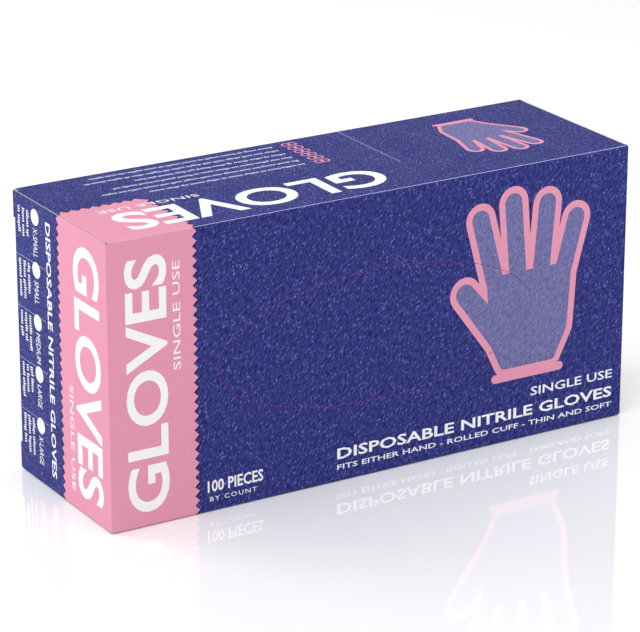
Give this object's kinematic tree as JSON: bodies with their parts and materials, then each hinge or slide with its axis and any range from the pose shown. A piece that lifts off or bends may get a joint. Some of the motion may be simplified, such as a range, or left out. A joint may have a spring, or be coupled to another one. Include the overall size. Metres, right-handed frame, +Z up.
{
  "type": "glove dispenser box",
  "caption": "Folding-carton dispenser box of flat disposable gloves, with a tear-out oval in its front and a hinged tuck flap closing each end.",
  "frame": {"origin": "centre of the underside of the standing carton, at the bottom of its bounding box", "axes": "+X along the carton's length, +Y from the front panel to the back panel, +Z up"},
  "size_m": [0.24, 0.078, 0.118],
  "materials": {
    "printed_board": "satin",
    "bare_board": "matte",
    "blue_nitrile": "satin"
  },
  "bodies": {
    "carton": {"front_panel": "printed_board", "top_panel": "printed_board", "back_panel": "printed_board", "bottom_panel": "printed_board", "glue_flap": "bare_board", "glove_group_01": "blue_nitrile", "glove_group_02": "blue_nitrile", "glove_group_03": "blue_nitrile", "glove_group_04": "blue_nitrile", "glove_group_05": "blue_nitrile", "glove_group_06": "blue_nitrile", "glove_group_07": "blue_nitrile", "glove_group_08": "blue_nitrile", "glove_group_09": "blue_nitrile", "glove_group_10": "blue_nitrile", "glove_group_11": "blue_nitrile", "glove_group_12": "blue_nitrile", "glove_group_13": "blue_nitrile", "glove_group_14": "blue_nitrile", "glove_group_15": "blue_nitrile", "glove_group_16": "blue_nitrile", "glove_group_17": "blue_nitrile", "glove_group_18": "blue_nitrile", "glove_group_19": "blue_nitrile", "glove_group_20": "blue_nitrile", "glove_group_21": "blue_nitrile", "glove_group_22": "blue_nitrile", "glove_group_23": "blue_nitrile", "glove_group_24": "blue_nitrile", "glove_group_25": "blue_nitrile"},
    "dispensing_panel": {"dispensing_panel": "printed_board"},
    "left_end": {"left_end_panel": "printed_board"},
    "left_tuck": {"left_tuck_flap": "printed_board"},
    "left_upper_dust": {"left_upper_dust_flap": "bare_board"},
    "left_lower_dust": {"left_lower_dust_flap": "bare_board"},
    "right_end": {"right_end_panel": "printed_board"},
    "right_tuck": {"right_tuck_flap": "printed_board"},
    "right_upper_dust": {"right_upper_dust_flap": "bare_board"},
    "right_lower_dust": {"right_lower_dust_flap": "bare_board"}
  },
  "joints": [
    {"name": "dispensing_panel_tear_out", "type": "slide", "parent": "carton", "child": "dispensing_panel", "axis": [0, -1, 0], "range_m": [0, 0.12]},
    {"name": "left_end_hinge", "type": "hinge", "parent": "carton", "child": "left_end", "pos_m": [-0.12, -0.039, 0.059], "axis": [0, 0, 1], "range_deg": [0, 110]},
    {"name": "left_tuck_crease", "type": "hinge", "parent": "left_end", "child": "left_tuck", "pos_m": [-0.12, 0.0382, 0.059], "axis": [0, 0, 1], "range_deg": [0, 22]},
    {"name": "left_upper_dust_crease", "type": "hinge", "parent": "carton", "child": "left_upper_dust", "pos_m": [-0.1192, 0, 0.118], "axis": [0, 1, 0], "range_deg": [0, 44]},
    {"name": "left_lower_dust_crease", "type": "hinge", "parent": "carton", "child": "left_lower_dust", "pos_m": [-0.1192, 0, 0], "axis": [0, -1, 0], "range_deg": [0, 44]},
    {"name": "right_end_hinge", "type": "hinge", "parent": "carton", "child": "right_end", "pos_m": [0.12, -0.039, 0.059], "axis": [0, 0, -1], "range_deg": [0, 110]},
    {"name": "right_tuck_crease", "type": "hinge", "parent": "right_end", "child": "right_tuck", "pos_m": [0.12, 0.0382, 0.059], "axis": [0, 0, -1], "range_deg": [0, 22]},
    {"name": "right_upper_dust_crease", "type": "hinge", "parent": "carton", "child": "right_upper_dust", "pos_m": [0.1192, 0, 0.118], "axis": [0, -1, 0], "range_deg": [0, 44]},
    {"name": "right_lower_dust_crease", "type": "hinge", "parent": "carton", "child": "right_lower_dust", "pos_m": [0.1192, 0, 0], "axis": [0, 1, 0], "range_deg": [0, 44]}
  ],
  "couplings": [
    {"joint": "left_tuck_crease", "follows": "left_end_hinge", "ratio": 0.2},
    {"joint": "left_upper_dust_crease", "follows": "left_end_hinge", "ratio": 0.4},
    {"joint": "left_lower_dust_crease", "follows": "left_end_hinge", "ratio": 0.4},
    {"joint": "right_tuck_crease", "follows": "right_end_hinge", "ratio": 0.2},
    {"joint": "right_upper_dust_crease", "follows": "right_end_hinge", "ratio": 0.4},
    {"joint": "right_lower_dust_crease", "follows": "right_end_hinge", "ratio": 0.4}
  ]
}
